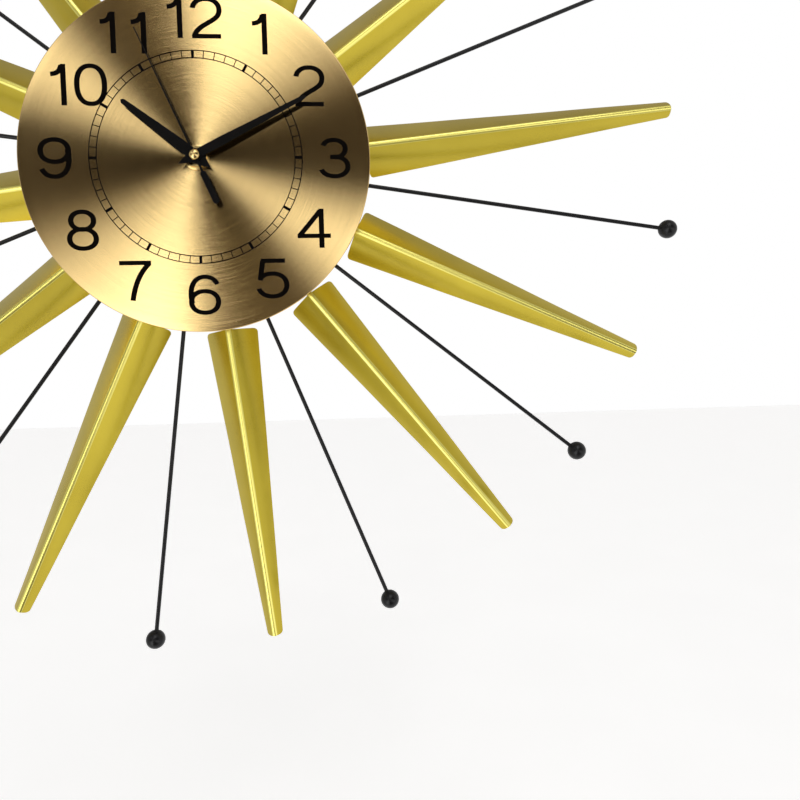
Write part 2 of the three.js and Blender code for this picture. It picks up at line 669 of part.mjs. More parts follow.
// The setting wheel joins the minute and hour wheels, and its knob shows at the rear.
function settingWheel() {
  const wheelModule = moduleFor(SETTING_DISTANCE, CANNON_PINION, SETTING_WHEEL);
  const pinionModule = moduleFor(SETTING_DISTANCE, HOUR_WHEEL, SETTING_PINION);
  const back = SETTING_AIM + 180;
  const wheel = gear(SETTING_WHEEL, wheelModule, ...CANNON_LAYER, ...SETTING, back, false);
  const pinion = gear(SETTING_PINION, pinionModule, HOUR_LAYER[0] - 0.1, CANNON_LAYER[0] + 0.2,
    ...SETTING, back, true);
  const stem = disc(0.8, CANNON_LAYER[1] - 0.2, -1.8, 12, ...SETTING);
  const knob = gear(14, (2 * KNOB_RADIUS) / 15.5, -2.4, -0.4, ...SETTING, 0, false);
  return wheel.add(pinion).add(stem).add(knob);
}

add('hour_wheel', hourWheel(), ...WHITE_PLASTIC);
add('centre_wheel', centreWheel(), ...WHITE_PLASTIC);
add('second_wheel', secondWheel(), ...WHITE_PLASTIC);
add('third_wheel', thirdWheel(), ...WHITE_PLASTIC);
add('intermediate_wheel', intermediateWheel(), ...WHITE_PLASTIC);
add('rotor', rotor(), 0x4a4a4e, 0.4, 0.5);
add('setting_wheel', settingWheel(), ...WHITE_PLASTIC);

// ---------------------------------------------------------------- motor and circuit

const COIL_RADIUS = 2.7;
const COIL_LENGTH = 17;
const COIL_X = -13;
const COIL_Z = 22.4;
const COIL_Y = -9.6;
const CORE_HALF = 0.9;
const LUG_GAP = 0.5;           // between the coil's end and a lug
const LUG_WIDTH = 2.4;
const LEFT_LUG_Z = 14.6;       // lower ends of the lugs
const RIGHT_LUG_Z = 17;
const FOOT_REACH = 3;          // the left lug's foot, which the pole plate joins
const FOOT_TOP = 18.4;
const BRIDGE_HALF = 1.6;

function coil() {
  const half = COIL_LENGTH / 2;
  const flange = 0.6;
  const bore = CORE_HALF * Math.SQRT2 + 0.25;
  const winding = COIL_RADIUS - 0.4;
  const points = [
    [bore, -half], [COIL_RADIUS, -half], [COIL_RADIUS, -half + flange], [winding, -half + flange],
    [winding, half - flange], [COIL_RADIUS, half - flange], [COIL_RADIUS, half], [bore, half],
    [bore, -half],
  ].map(([radius, along]) => new THREE.Vector2(radius, along));
  const geometry = new THREE.LatheGeometry(points, 16);
  geometry.rotateZ(-Math.PI / 2);
  geometry.translate(COIL_X, COIL_Y, COIL_Z);
  return orientedSolid(geometry);
}

// A closed iron circuit: the core through the coil, two lugs, and the pole plate.
function stator() {
  const front = COIL_Y - CORE_HALF;
  const back = COIL_Y + CORE_HALF;
  const lugIn = COIL_LENGTH / 2 + LUG_GAP;
  const lugOut = lugIn + LUG_WIDTH;
  const core = box(COIL_X - lugOut, COIL_X + lugOut, front, back, COIL_Z - CORE_HALF, COIL_Z + CORE_HALF);
  const leftLug = box(COIL_X - lugOut, COIL_X - lugIn, front, back, LEFT_LUG_Z, COIL_Z);
  const rightLug = box(COIL_X + lugIn, COIL_X + lugOut, front, back, RIGHT_LUG_Z, COIL_Z);
  const foot = box(COIL_X - lugOut, COIL_X - lugIn + FOOT_REACH, front, back, LEFT_LUG_Z, FOOT_TOP);
  const poles = disc(MAGNET_RADIUS + 1.5, front, back, 24, ...ROTOR);
  const bridge = box(COIL_X - lugIn, ROTOR[0], front, back, ROTOR[1] - BRIDGE_HALF, ROTOR[1] + BRIDGE_HALF);
  const hole = disc(MAGNET_RADIUS + 0.5, front - 1, back + 1, 24, ...ROTOR);
  return joined([core, leftLug, rightLug, foot, bridge, poles]).subtract(hole);
}

const BOARD_X = [14.5, 26];
const BOARD_Y = [-5.4, -4.4];
const BOARD_Z = [-8.4, 12];
const SOLDER_LINE = -5.2;      // y that the chip and the crystal sink to, inside the board

function circuitBoard() {
  const board = box(...BOARD_X, ...BOARD_Y, ...BOARD_Z);
  const chip = disc(2.6, -6.2, SOLDER_LINE, 16, 19, 6);
  const crystal = box(22, 24, -7.2, SOLDER_LINE, -5, 2);
  return board.add(chip).add(crystal);
}

add('coil', coil(), 0xb0552a, 0.4, 0.6);
add('stator', stator(), ...STEEL);
add('circuit_board', circuitBoard(), 0x1f6b3a, 0.6, 0);

// ---------------------------------------------------------------- hands

// A blade pointing along +X: pointed tail, full width near the axis, slow taper to the tip.
function handBlade(length, tail, halfWidth, tipHalf, bossRadius, bore, yFront, yBack) {
  const shoulder = tail * 0.42;
  const blade = plate(polygon([
    [-tail, 0],
    [-shoulder, -halfWidth],
    [length * 0.25, -halfWidth],
    [length - tipHalf, -tipHalf],
    [length, 0],
    [length - tipHalf, tipHalf],
    [length * 0.25, halfWidth],
    [-shoulder, halfWidth],
  ]), yFront, yBack);
  const boss = disc(bossRadius, yFront, yBack, 24);
  const hole = disc(bore, yFront - 1, yBack + 1, 24);
  return blade.add(boss).subtract(hole);
}

function hourHand() {
  const blade = handBlade(HOUR_HAND_LENGTH, 12, 3.5, 1.6, 4.6, HOUR_TUBE[0] + 0.05,
    HOUR_HAND_FRONT, HOUR_HAND_BACK);
  return atClockAngle(blade, HOUR_ANGLE);
}

function minuteHand() {
  const blade = handBlade(MINUTE_HAND_LENGTH, 11.5, 2.8, 1.2, 3.8, MINUTE_TUBE[0] + 0.3,
    MINUTE_HAND_FRONT, MINUTE_HAND_BACK);
  return atClockAngle(blade, MINUTE_ANGLE);
}

// A thin needle with a thick counterweight bar, and the domed cap over the arbor.
function secondHand() {
  const needle = plate(polygon([
    [-12, -0.6], [SECOND_HAND_LENGTH, -0.3], [SECOND_HAND_LENGTH, 0.3], [-12, 0.6],
  ]), SECOND_HAND_FRONT, SECOND_HAND_BACK);
  const weight = plate(roundedRectangle(-33, -11, -2, 2, 1.9), SECOND_HAND_FRONT, SECOND_HAND_BACK, 3);
  const dome = 3.2;
  const cap = turned([
    [0, SECOND_HAND_FRONT - 1.7],
    [dome * 0.5, SECOND_HAND_FRONT - 1.45],
    [dome * 0.87, SECOND_HAND_FRONT - 0.8],
    [dome, SECOND_HAND_FRONT],
    [dome, SECOND_HAND_BACK],
    [0, SECOND_HAND_BACK],
  ], 20);
  return atClockAngle(needle.add(weight).add(cap), SECOND_ANGLE);
}

add('hour_hand', hourHand(), ...BLACK_ENAMEL);
add('minute_hand', minuteHand(), ...BLACK_ENAMEL);
add('second_hand', secondHand(), ...BLACK_ENAMEL);

export default clock;
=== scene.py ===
import json
import math

import bmesh
import bpy
from mathutils import Matrix, Vector

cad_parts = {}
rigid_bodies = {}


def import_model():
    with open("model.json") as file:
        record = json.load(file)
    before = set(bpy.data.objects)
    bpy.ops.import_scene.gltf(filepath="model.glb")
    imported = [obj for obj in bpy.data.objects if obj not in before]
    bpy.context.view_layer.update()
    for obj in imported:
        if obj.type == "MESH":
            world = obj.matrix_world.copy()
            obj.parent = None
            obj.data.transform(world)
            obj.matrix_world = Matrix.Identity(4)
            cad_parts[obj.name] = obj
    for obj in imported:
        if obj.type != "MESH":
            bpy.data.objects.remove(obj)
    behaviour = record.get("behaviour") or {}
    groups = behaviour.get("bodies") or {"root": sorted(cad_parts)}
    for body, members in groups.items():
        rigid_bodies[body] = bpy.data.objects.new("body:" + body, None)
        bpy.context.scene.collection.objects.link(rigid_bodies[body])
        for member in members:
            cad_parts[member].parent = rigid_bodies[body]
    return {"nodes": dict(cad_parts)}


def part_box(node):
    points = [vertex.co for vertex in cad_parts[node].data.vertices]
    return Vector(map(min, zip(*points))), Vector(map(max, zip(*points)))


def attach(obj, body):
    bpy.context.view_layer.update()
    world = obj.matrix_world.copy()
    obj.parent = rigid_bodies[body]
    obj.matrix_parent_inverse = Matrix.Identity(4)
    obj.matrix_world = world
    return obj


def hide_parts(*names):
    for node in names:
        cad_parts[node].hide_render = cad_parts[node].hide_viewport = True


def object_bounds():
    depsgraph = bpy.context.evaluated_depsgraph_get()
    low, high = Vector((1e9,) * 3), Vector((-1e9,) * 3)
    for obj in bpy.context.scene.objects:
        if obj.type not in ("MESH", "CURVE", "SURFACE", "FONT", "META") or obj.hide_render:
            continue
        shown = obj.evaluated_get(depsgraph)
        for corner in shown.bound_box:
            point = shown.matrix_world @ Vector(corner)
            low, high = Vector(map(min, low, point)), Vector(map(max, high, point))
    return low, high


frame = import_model()
cad_low, cad_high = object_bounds()
nodes = frame["nodes"]
scene = bpy.context.scene
scene.view_settings.view_transform = "Standard"

# Lengths below are in millimetres and angles in degrees, unless a name says otherwise.
MM = 0.001

ARMS = 12
RAY_BASE = 109
RAY_TIP = 318
RAY_BASE_HALF = 17.4
RAY_TIP_HALF = 5.2
RAY_SHEET = 1
RAY_BEND_RADIUS = 2.5
RAY_CROWN = 0.35            # how far the middle of a facet bulges
RAY_BASE_CORNER = 3
RAY_TIP_CORNER = 2.4

ROD_INNER = 62
ROD_RADIUS = 1.3
ROD_COLLAR = 0.55           # how far the socket in a ball stands out past its rod

PLATE_RADIUS = 98
PLATE_THICKNESS = 1.5
ARM_WIDTH = 4
ARM_REACH = 142
ARM_FRONT = -14

DIAL_HOLE = 4.4
BUSH_HOLE = 4.3             # in the washer, the backing and the hub plate
DIAL_ROLL = 0.85            # radius of the dial's rolled edge

INK = 0.06                  # thickness of the printing on the dial
INK_SINK = 0.03             # how far the printing's back lies inside the dial
INK_LAYER = 0.004           # step between strokes that cross, so that no two faces coincide
NUMBER_HEIGHT = 25.2
NUMBER_STRETCH = 1.21       # the numbers are a plain sans serif, widened
NUMBER_PLACES = {           # middle of each number, from the axis
    12: (0, 86.4), 1: (42.9, 76.7), 2: (72.4, 44.8), 3: (87, -0.5), 4: (72.5, -44.9), 5: (44.8, -76.7),
    6: (1.6, -86.4), 7: (-41, -76.8), 8: (-72.3, -44.7), 9: (-87, 0), 10: (-72.4, 44.8), 11: (-42.9, 76.7),
}
TRACK_OUTER = 66.4
TRACK_INNER = 61.8
TRACK_LINE = 0.6
TRACK_FIVE = 1.8


def span(node):
    """The corners of a CAD node's box, in millimetres."""
    low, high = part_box(node)
    return low / MM, high / MM


DIAL_LOW, DIAL_HIGH = span("dial")
DIAL_FRONT = DIAL_LOW.y
DIAL_RADIUS = DIAL_HIGH.z
BALL_LOW, BALL_HIGH = span("ball_01")
ROD_Y = (BALL_LOW.y + BALL_HIGH.y) / 2
BALL_RADIUS = (BALL_HIGH.y - BALL_LOW.y) / 2


# ---------------------------------------------------------------- node trees

class Tree:
    """One node tree. add() makes a node and fills its inputs, linking those given as sockets."""

    def __init__(self, tree):
        self.tree = tree
        tree.nodes.clear()

    def add(self, kind, inputs=None, **settings):
        node = self.tree.nodes.new("ShaderNode" + kind)
        for key, value in settings.items():
            setattr(node, key, value)
        for key, value in (inputs or {}).items():
            self.set(node.inputs[key], value)
        return node

    def set(self, socket, value):
        if isinstance(value, bpy.types.NodeSocket):
            self.tree.links.new(value, socket)
        else:
            socket.default_value = value

    def math(self, operation, *values):
        return self.add("Math", dict(enumerate(values)), operation=operation).outputs[0]

    def ramp(self, factor, stops, mode="LINEAR"):
        node = self.add("ValToRGB", {"Fac": factor})
        node.color_ramp.interpolation = mode
        points = node.color_ramp.elements
        while len(points) < len(stops):
            points.new(0.5)
        for point, (place, colour) in zip(points, stops):
            point.position = place
            point.color = colour if len(colour) == 4 else (*colour, 1)
        return node.outputs["Color"]

    def remap(self, value, low, high, to_low, to_high, kind="LINEAR"):
        inputs = {"Value": value, "From Min": low, "From Max": high, "To Min": to_low, "To Max": to_high}
        return self.add("MapRange", inputs, interpolation_type=kind).outputs["Result"]

    def noise(self, vector, scale, detail=3.0, roughness=0.5):
        inputs = {"Vector": vector, "Scale": scale, "Detail": detail, "Roughness": roughness}
        return self.add("TexNoise", inputs).outputs["Fac"]


def new_material(name, **sockets):
    """A material with one Principled shader. Sockets are given by name, spaces written as underscores."""
    material = bpy.data.materials.new(name)
    material.use_nodes = True
    tree = Tree(material.node_tree)
    shader = tree.add("BsdfPrincipled")
    for key, value in sockets.items():
        shader.inputs[key.replace("_", " ")].default_value = value
    tree.add("OutputMaterial", {"Surface": shader.outputs[0]})
    place = tree.add("TexCoord").outputs["Object"]
    return material, tree, shader, place


def mottled(name, dark, light, patch=0.012, rough=(0.3, 0.45), grain=0.0005, relief=0.00002, **sockets):
    """A finish whose colour and gloss drift in patches, over a fine grain.
    The sizes of patch, grain and relief are in metres."""
    material, tree, shader, place = new_material(name, **sockets)
    drift = tree.noise(place, 1 / patch, 4)
    fine = tree.noise(place, 1 / grain, 2)
    tree.set(shader.inputs["Base Color"], tree.ramp(drift, [(0.3, dark), (0.7, light)]))
    blend = tree.math("ADD", tree.math("MULTIPLY", drift, 0.6), tree.math("MULTIPLY", fine, 0.4))
    tree.set(shader.inputs["Roughness"], tree.remap(blend, 0.3, 0.7, *rough))
    bump = tree.add("Bump", {"Height": fine, "Distance": relief, "Strength": 0.6})
    tree.set(shader.inputs["Normal"], bump.outputs[0])
    return material


# ---------------------------------------------------------------- materials

def spun_champagne():
    """Lacquered aluminium, spun on a lathe: fine rings about the axis stretch each reflection into a fan."""
    material, tree, shader, place = new_material(
        "spun_champagne", Metallic=1.0, Anisotropic=1.0, Anisotropic_Rotation=0.25)
    axes = tree.add("SeparateXYZ", {"Vector": place}).outputs
    radius = tree.math("SQRT", tree.math("ADD", tree.math("MULTIPLY", axes["X"], axes["X"]),
                                         tree.math("MULTIPLY", axes["Z"], axes["Z"])))
    safe = tree.math("MAXIMUM", radius, 0.0005)
    across = tree.math("DIVIDE", axes["X"], safe)
    up = tree.math("DIVIDE", axes["Z"], safe)

    def rings(spacing, drift):
        vector = tree.add("CombineXYZ", {
            "X": tree.math("MULTIPLY", radius, 1 / spacing),
            "Y": tree.math("MULTIPLY", across, drift),
            "Z": tree.math("MULTIPLY", up, drift)}).outputs[0]
        return tree.noise(vector, 1.0, 2, 0.6)

    fine = rings(0.00035, 0.9)
    broad = rings(0.0022, 0.8)
    both = tree.math("ADD", tree.math("MULTIPLY", fine, 0.65), tree.math("MULTIPLY", broad, 0.35))
    colour = tree.ramp(both, [(0.25, (0.80, 0.565, 0.24)), (0.75, (0.90, 0.65, 0.285))])
    tree.set(shader.inputs["Base Color"], colour)
    tree.set(shader.inputs["Roughness"], tree.remap(both, 0.25, 0.75, 0.14, 0.17))
    bump = tree.add("Bump", {"Height": fine, "Distance": 0.000025, "Strength": 1.0})
    tree.set(shader.inputs["Normal"], bump.outputs[0])
    tangent = tree.add("Tangent", direction_type="RADIAL", axis="Y")
    tree.set(shader.inputs["Tangent"], tangent.outputs[0])
    return material


def gold_lacquer():
    """Sheet metal under a satin gold lacquer, with a painted highlight mixed in along each ray's ridge."""
    material, tree, shader, place = new_material("gold_lacquer", Metallic=1.0, Coat_Weight=0.8,
                                                 Coat_Roughness=0.2)
    drift = tree.noise(place, 22, 3)
    grain = tree.noise(place, 2600, 2)
    lacquer = tree.ramp(drift, [(0.3, (0.60, 0.455, 0.018)), (0.7, (0.71, 0.55, 0.030))])
    # Painted highlight: a bright yellow, mixed in by a mask that each ray's mesh carries along its ridge's
    # bend.
    painted_highlight_colour = (0.94, 0.84, 0.19, 1)
    painted_highlight_mask = tree.add("Attribute", attribute_name="painted_highlight_mask").outputs["Fac"]
    colour = tree.add("MixRGB", {"Fac": painted_highlight_mask, "Color1": lacquer, "Color2": painted_highlight_colour}).outputs[0]
    tree.set(shader.inputs["Base Color"], colour)
    blend = tree.math("ADD", tree.math("MULTIPLY", drift, 0.5), tree.math("MULTIPLY", grain, 0.5))
    tree.set(shader.inputs["Roughness"], tree.remap(blend, 0.3, 0.7, 0.26, 0.34))
    bump = tree.add("Bump", {"Height": grain, "Distance": 0.000012, "Strength": 0.5})
    tree.set(shader.inputs["Normal"], bump.outputs[0])
    return material


def battery_jacket():
    """A plain printed sleeve: a dark body, a copper-coloured band at the positive end, bare steel ends."""
    material, tree, shader, place = new_material("battery_jacket", Coat_Weight=0.5, Coat_Roughness=0.12)
    along = tree.add("SeparateXYZ", {"Vector": place}).outputs["X"]
    share = tree.remap(along, -0.0245, 0.0255, 0, 1)
    steel, dark, band = (0.55, 0.55, 0.54), (0.018, 0.02, 0.024), (0.62, 0.30, 0.13)
    colour = tree.ramp(share, [(0, steel), (0.014, dark), (0.68, band), (0.955, steel)], "CONSTANT")
    tree.set(shader.inputs["Base Color"], colour)
    metal = tree.ramp(share, [(0, (1,) * 3), (0.014, (0.3,) * 3), (0.68, (0.9,) * 3)], "CONSTANT")
    tree.set(shader.inputs["Metallic"], metal)
    scuffs = tree.noise(place, 180, 4)
    tree.set(shader.inputs["Roughness"], tree.remap(scuffs, 0.3, 0.7, 0.22, 0.36))
    return material


def copper_wire():
    """Enamelled copper wound round the core, one fine turn beside the next."""
    material, tree, shader, place = new_material("copper_wire", Metallic=0.9, Coat_Weight=0.6)
    along = tree.add("SeparateXYZ", {"Vector": place}).outputs["X"]
    turns = tree.math("SINE", tree.math("MULTIPLY", along, 2 * math.pi / 0.0003))
    drift = tree.noise(place, 400, 2)
    tree.set(shader.inputs["Base Color"],
             tree.ramp(drift, [(0.3, (0.36, 0.12, 0.05)), (0.7, (0.56, 0.22, 0.09))]))
    tree.set(shader.inputs["Roughness"], tree.remap(drift, 0.3, 0.7, 0.25, 0.4))
    bump = tree.add("Bump", {"Height": turns, "Distance": 0.00006, "Strength": 0.8})
    tree.set(shader.inputs["Normal"], bump.outputs[0])
    return material


def circuit_green():
    """Solder mask over fine tracks that run lengthwise."""
    material, tree, shader, place = new_material("circuit_green", Coat_Weight=0.4)
    axes = tree.add("SeparateXYZ", {"Vector": place}).outputs
    lanes = tree.math("SINE", tree.math("MULTIPLY", axes["X"], 2 * math.pi / 0.0016))
    wander = tree.noise(place, 260, 1)
    track = tree.math("GREATER_THAN", tree.math("ADD", lanes, wander), 1.1)
    colour = tree.ramp(track, [(0, (0.012, 0.09, 0.035)), (1, (0.03, 0.20, 0.07))])
    tree.set(shader.inputs["Base Color"], colour)
    tree.set(shader.inputs["Roughness"], tree.remap(wander, 0.3, 0.7, 0.3, 0.45))
    bump = tree.add("Bump", {"Height": track, "Distance": 0.00003, "Strength": 0.5})
    tree.set(shader.inputs["Normal"], bump.outputs[0])
    return material


def fibreboard():
    """Black-stained hardboard, with short fibres pressed flat."""
    material, tree, shader, place = new_material("fibreboard", Specular_IOR_Level=0.3)
    stretched = tree.add("Mapping", {"Vector": place, "Scale": (1.0, 6.0, 2.2)}).outputs[0]
    fibres = tree.noise(stretched, 900, 5, 0.7)
    patches = tree.noise(place, 60, 3)
    blend = tree.math("ADD", tree.math("MULTIPLY", fibres, 0.7), tree.math("MULTIPLY", patches, 0.3))
    colour = tree.ramp(blend, [(0.3, (0.045, 0.028, 0.018)), (0.7, (0.13, 0.085, 0.05))])
    tree.set(shader.inputs["Base Color"], colour)
    tree.set(shader.inputs["Roughness"], tree.remap(blend, 0.3, 0.7, 0.7, 0.9))
    bump = tree.add("Bump", {"Height": fibres, "Distance": 0.00012, "Strength": 0.6})
    tree.set(shader.inputs["Normal"], bump.outputs[0])
    return material


CHAMPAGNE = spun_champagne()
GOLD = gold_lacquer()
ENAMEL = mottled("black_enamel", (0.004, 0.004, 0.005), (0.007, 0.007, 0.008), rough=(0.24, 0.34),
                 grain=0.0011, relief=0.00001, Specular_IOR_Level=0.3)
PLATE_ENAMEL = mottled("plate_enamel", (0.014, 0.014, 0.015), (0.024, 0.024, 0.026), rough=(0.42, 0.58),
                       grain=0.0006, relief=0.00003)
HAND_BLACK = mottled("hand_black", (0.003, 0.003, 0.003), (0.006, 0.005, 0.005), rough=(0.38, 0.5),
                     grain=0.0005, relief=0.000008, Specular_IOR_Level=0.06)
INK_BLACK = mottled("dial_ink", (0.0025, 0.0016, 0.0012), (0.004, 0.003, 0.002), patch=0.006,
                    rough=(0.5, 0.65), grain=0.0003, relief=0.000006, Specular_IOR_Level=0.02)
BRASS = mottled("turned_brass", (0.62, 0.43, 0.16), (0.80, 0.60, 0.27), patch=0.003, rough=(0.14, 0.26),
                grain=0.0003, relief=0.000006, Metallic=1.0)
STEEL = mottled("zinc_steel", (0.42, 0.43, 0.44), (0.62, 0.62, 0.60), patch=0.009, rough=(0.28, 0.46),
                grain=0.0005, relief=0.00002, Metallic=1.0)
NICKEL = mottled("nickel_strip", (0.58, 0.55, 0.50), (0.72, 0.69, 0.63), patch=0.005, rough=(0.18, 0.3),
                 grain=0.0003, relief=0.000008, Metallic=1.0)
CASE = mottled("case_plastic", (0.013, 0.013, 0.014), (0.022, 0.022, 0.023), rough=(0.45, 0.6),
               grain=0.00035, relief=0.00004)
NYLON = mottled("gear_plastic", (0.70, 0.68, 0.62), (0.80, 0.78, 0.72), patch=0.006, rough=(0.38, 0.5),
                grain=0.0003, relief=0.00001, Subsurface_Weight=0.15, Subsurface_Scale=0.001)
FERRITE = mottled("rotor_magnet", (0.05, 0.05, 0.055), (0.11, 0.11, 0.115), patch=0.002, rough=(0.4, 0.55),
                  grain=0.0002, relief=0.00002, Metallic=0.6)
JACKET = battery_jacket()
COPPER = copper_wire()
GREEN = circuit_green()
BOARD = fibreboard()


# ---------------------------------------------------------------- mesh building

def clock_frame(degrees):
    """Turns +X to a clock direction, clockwise from 12 as seen from the front, and keeps +Y."""
    a = math.radians(degrees)
    return Matrix(((math.sin(a), 0, -math.cos(a)), (0, 1, 0), (math.cos(a), 0, math.sin(a))))


def aim(node):
    """The clock direction of a CAD node's far end, in degrees."""
    points = {tuple(round(c / MM, 3) for c in v.co) for v in nodes[node].data.vertices}
    reach = max(math.hypot(x, z) for x, _, z in points)
    far = [(x, z) for x, _, z in points if math.hypot(x, z) > reach - 0.03]
    return math.degrees(math.atan2(sum(x for x, _ in far), sum(z for _, z in far)))


def ray_place(node):
    """Where a ray's own axes lie: its turn, and the shift that brings its line through both its ends."""
    points = {tuple(round(c / MM, 3) for c in v.co) for v in nodes[node].data.vertices}
    reach = [math.hypot(x, z) for x, _, z in points]
    ends = []
    for limit in (min(reach), max(reach)):
        near = [(x, z) for x, _, z in points if abs(math.hypot(x, z) - limit) < 0.15]
        ends.append(Vector((sum(x for x, _ in near) / len(near), 0, sum(z for _, z in near) / len(near))))
    base, tip = ends
    run = tip - base
    turn = clock_frame(math.degrees(math.atan2(run.x, run.z)))
    return turn, tip - turn @ Vector((RAY_TIP, 0, 0))


def bevelled(obj, width, segments=2, angle=35):
    """Eases an object's edges, where they turn by more than the angle."""
    bevel = obj.modifiers.new("bevel", "BEVEL")
    bevel.width = width * MM
    bevel.segments = segments
    bevel.limit_method = "ANGLE"
    bevel.angle_limit = math.radians(angle)
    bevel.harden_normals = False
    normals = obj.modifiers.new("normals", "WEIGHTED_NORMAL")
    normals.keep_sharp = True


def piece(name, bm, material, body="clock", replaces=(), sharp=35, bevel=0.0, segments=2):
    """Makes an object from a bmesh in millimetres and sets what it rides on and stands for."""
    bmesh.ops.remove_doubles(bm, verts=bm.verts, dist=1e-5)
    bmesh.ops.recalc_face_normals(bm, faces=bm.faces)
    for face in bm.faces:
        face.smooth = True
    for edge in bm.edges:
        edge.smooth = len(edge.link_faces) != 2 or edge.calc_face_angle(0) < math.radians(sharp)
    bmesh.ops.scale(bm, vec=(MM, MM, MM), verts=bm.verts)
    mesh = bpy.data.meshes.new(name)
    bm.to_mesh(mesh)
    bm.free()
    mesh.materials.append(material)
    obj = bpy.data.objects.new(name, mesh)
    scene.collection.objects.link(obj)
    if bevel:
        bevelled(obj, bevel, segments)
    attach(obj, body)
    if replaces:
        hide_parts(*replaces)


def revolve(bm, profile, segments, turn=None, shift=(0, 0, 0)):
    """Turns (along, radius) points about +X, then shifts and turns the result. Ends on the axis close it."""
    rings = []
    for along, radius in profile:
        count = 1 if radius < 1e-6 else segments
        ring = []
        for k in range(count):
            t = 2 * math.pi * k / segments
            point = Vector((along, radius * math.cos(t), radius * math.sin(t))) + Vector(shift)
            ring.append(bm.verts.new(turn @ point if turn else point))
        rings.append(ring)
    for a, b in zip(rings, rings[1:]):
        for k in range(segments):
            n = (k + 1) % segments
            quad = [a[k % len(a)], a[n % len(a)], b[n % len(b)], b[k % len(b)]]
            corners = [v for i, v in enumerate(quad) if v not in quad[:i]]
            if len(corners) > 2:
                bm.faces.new(corners)
    return bm


# Turns +X to +Y, for pieces turned about the dial's axis.
ALONG_Y = Matrix(((0, 0, 1), (1, 0, 0), (0, 1, 0)))


def turned(profile, segments, x=0, z=0):
    """A closed (y, radius) profile turned about an axis along Y."""
    return revolve(bmesh.new(), profile, segments, ALONG_Y, (0, z, x) if (x or z) else (0, 0, 0))


def extrude(bm, outline, front, back, turn=None):
    """A plate with an (x, z) outline between two y planes."""

    def level(y):
        return [bm.verts.new(turn @ Vector((x, y, z)) if turn else (x, y, z)) for x, z in outline]

    a, b = level(front), level(back)
    bm.faces.new(a)
    bm.faces.new(reversed(b))
    for k in range(len(outline)):
        n = (k + 1) % len(outline)
        bm.faces.new([a[n], a[k], b[k], b[n]])


def ring_band(bm, inner, outer, front, back, segments):
    """A flat ring in the dial's plane."""
    profile = [(front, inner), (front, outer), (back, outer), (back, inner), (front, inner)]
    revolve(bm, profile, segments, ALONG_Y)


# ---------------------------------------------------------------- rays

# Strength of the painted highlight on the ridge's bend, by the angle about the ridge.
PAINTED_HIGHLIGHT_STRENGTH = {0: 0.85, 9: 1, 18: 1, 27: 1, 36: 1, 45: 0.8}
RAY_ROWS = 30
PHASE_STEP = 2.399          # radians from one ray's waver to the next's, so that no two are alike


def ray_lines():
    """Lines that run the length of a folded ray, from one edge to the other.
    Each is (side, kind, value): bend gives an angle about the ridge, flat a share of the facet, and
    corner a share of the rounded corner, measured in from the edge."""
    half = [("bend", a) for a in (9, 18, 27, 36, 45)]
    half += [("flat", f) for f in (0.02, 0.12, 0.28, 0.45, 0.62, 0.8, 1.0)]
    half += [("corner", t) for t in (0.25, 0.5, 0.75, 1.0)]
    lines = [(-1, kind, value) for kind, value in reversed(half)]
    return lines + [(1, "bend", 0)] + [(1, kind, value) for kind, value in half]


def ray_point(line, along, warp):
    """Outer and inner points of a ray's sheet: distance out, sideways and depth behind the ridge."""
    side, kind, value = line
    corner = 1 - value if kind == "corner" else (1 if kind == "flat" and value == 1 else None)
    start = RAY_BASE + (RAY_BASE_CORNER * (1 - corner) ** 2 if corner is not None else 0)
    end = RAY_TIP - (RAY_TIP_CORNER * (1 - corner) ** 2 if corner is not None else 0)
    x = start + (end - start) * along
    share = (x - RAY_BASE) / (RAY_TIP - RAY_BASE)
    edge = RAY_BASE_HALF + (RAY_TIP_HALF - RAY_BASE_HALF) * share
    round_off = RAY_BASE_CORNER + (RAY_TIP_CORNER - RAY_BASE_CORNER) * share
    r, t = RAY_BEND_RADIUS, RAY_SHEET
    diagonal = math.sqrt(0.5)
    if kind == "bend":
        a = math.radians(value)
        outer = (r * math.sin(a), r * (1 - math.cos(a)))
        inner = ((r - t) * math.sin(a), r - (r - t) * math.cos(a))
    else:
        inside = r * diagonal
        shoulder = edge - round_off
        s = inside + (shoulder - inside) * value if kind == "flat" else edge - round_off * (1 - value) ** 2
        reach = (s - inside) / (edge - inside)
        bulge = RAY_CROWN * share_crown(reach) * (edge / RAY_BASE_HALF) + warp(x, side) * reach
        d = r * (1 - diagonal) + (s - inside)
        outer = (s + bulge * diagonal, d - bulge * diagonal)
        inner = (outer[0] - t * diagonal, outer[1] + t * diagonal)
    return [Vector((x, depth, side * sideways)) for sideways, depth in (outer, inner)]


def share_crown(reach):
    """How much of a facet's bulge there is, by the share of the way from the fold to the edge."""
    return 4 * reach * (1 - reach) * 0.999 if 0 < reach < 1 else 0


